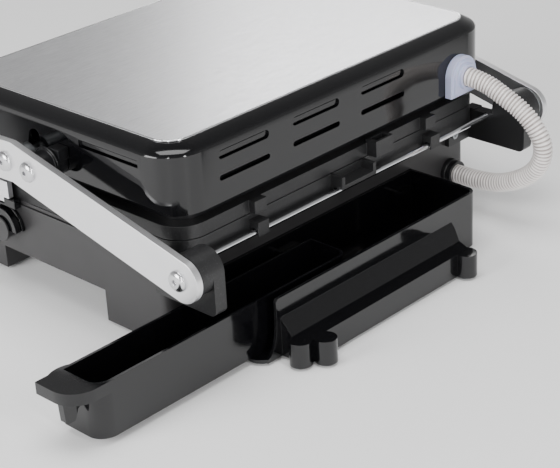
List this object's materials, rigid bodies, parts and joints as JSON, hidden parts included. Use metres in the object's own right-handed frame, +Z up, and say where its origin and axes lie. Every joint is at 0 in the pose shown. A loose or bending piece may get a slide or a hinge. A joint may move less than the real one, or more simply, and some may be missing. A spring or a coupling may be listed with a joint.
{
  "type": "panini press",
  "caption": "Free-standing contact grill: ribbed cooking plates, floating steel-topped lid on two side arms hinged at the back, full-width handle and a drip tray that draws out sideways.",
  "frame": {"origin": "middle of the footprint on the table, measured without the conduit, with the drip tray drawn out as it lies at rest", "axes": "+Z up, +Y from the handle at the front to the hinge at the back, +X to the user's right facing the front, the side the tray draws out of"},
  "size_m": [0.4604, 0.3668, 0.1472],
  "materials": {
    "satin_slate_abs": "fine-textured moulded ABS",
    "satin_black_abs": "satin moulded ABS",
    "gloss_black_abs": "gloss moulded ABS",
    "coated_cast_aluminium": "die-cast, speckled non-stick coating",
    "bare_pressed_aluminium": "bright pressed sheet",
    "satin_anodised_aluminium": "satin anodised",
    "brushed_stainless": "brushed satin sheet",
    "plain_steel": "zinc-plated",
    "chrome": "polished",
    "heater_sheath": "oxidised stainless sheath",
    "black_rubber": "matt",
    "lilac_grey_nylon": "satin moulded nylon",
    "silver_conduit": "ribbed flexible conduit",
    "red_lamp": "translucent lens",
    "green_lamp": "translucent lens"
  },
  "bodies": {
    "base": {"base_shell": "satin_slate_abs", "base_rim": "satin_slate_abs", "bottom_cover": "plain_steel", "cover_screws": "plain_steel", "foot_pads": "black_rubber", "hinge_bracket_right": "coated_cast_aluminium", "hinge_bracket_left": "coated_cast_aluminium", "bracket_screws": "plain_steel", "drip_trough": "gloss_black_abs", "plate_rod": "chrome", "lower_plate": "coated_cast_aluminium", "lower_heater": "heater_sheath", "lower_reflector": "bare_pressed_aluminium", "control_panel": "gloss_black_abs", "power_lamp": "red_lamp", "ready_lamp": "green_lamp", "hose_boot": "satin_black_abs", "release_guide": "gloss_black_abs", "lever_hub": "satin_slate_abs", "hose": "silver_conduit"},
    "arms": {"arm_right": "satin_anodised_aluminium", "arm_left": "satin_anodised_aluminium", "hinge_pins": "brushed_stainless", "hinge_washers": "plain_steel", "float_hubs": "satin_black_abs", "limiter_pins": "plain_steel", "arm_screws": "brushed_stainless", "handle_core": "plain_steel", "handle_grip": "satin_black_abs", "handle_collars": "satin_anodised_aluminium"},
    "lid": {"lid_shell": "gloss_black_abs", "lid_cover": "brushed_stainless", "lid_frame": "satin_black_abs", "float_blocks": "satin_black_abs", "upper_plate": "coated_cast_aluminium", "upper_heater": "heater_sheath", "upper_reflector": "bare_pressed_aluminium", "cable_gland": "lilac_grey_nylon"},
    "tray": {"drip_tray": "gloss_black_abs"},
    "knob": {"thermostat_knob": "satin_black_abs"},
    "release": {"release_tab": "satin_anodised_aluminium"},
    "lever": {"height_lever": "gloss_black_abs"}
  },
  "joints": [
    {"name": "arms_open", "type": "hinge", "parent": "base", "child": "arms", "pos_m": [-0.0473, 0.1284, 0.076], "axis": [-1, 0, 0], "range_deg": [0, 100], "deforming": ["hose"]},
    {"name": "lid_float", "type": "hinge", "parent": "arms", "child": "lid", "pos_m": [-0.0473, -0.0096, 0.1107], "axis": [1, 0, 0], "range_deg": [0, 10], "deforming": ["hose"]},
    {"name": "tray_slide", "type": "slide", "parent": "base", "child": "tray", "axis": [1, 0, 0], "range_m": [-0.123, 0.15]},
    {"name": "knob_turn", "type": "hinge", "parent": "base", "child": "knob", "pos_m": [-0.0473, -0.136, 0.045], "axis": [0, 1, 0], "range_deg": [0, 270]},
    {"name": "release_press", "type": "slide", "parent": "base", "child": "release", "axis": [-1, 0, 0], "range_m": [0, 0.002], "stiffness_N_per_m": 400},
    {"name": "lever_turn", "type": "hinge", "parent": "base", "child": "lever", "pos_m": [0.1072, -0.0716, 0.045], "axis": [1, 0, 0], "range_deg": [0, 60]}
  ],
  "couplings": [
    {"joint": "lid_float", "follows": "arms_open", "ratio": 0.1}
  ]
}
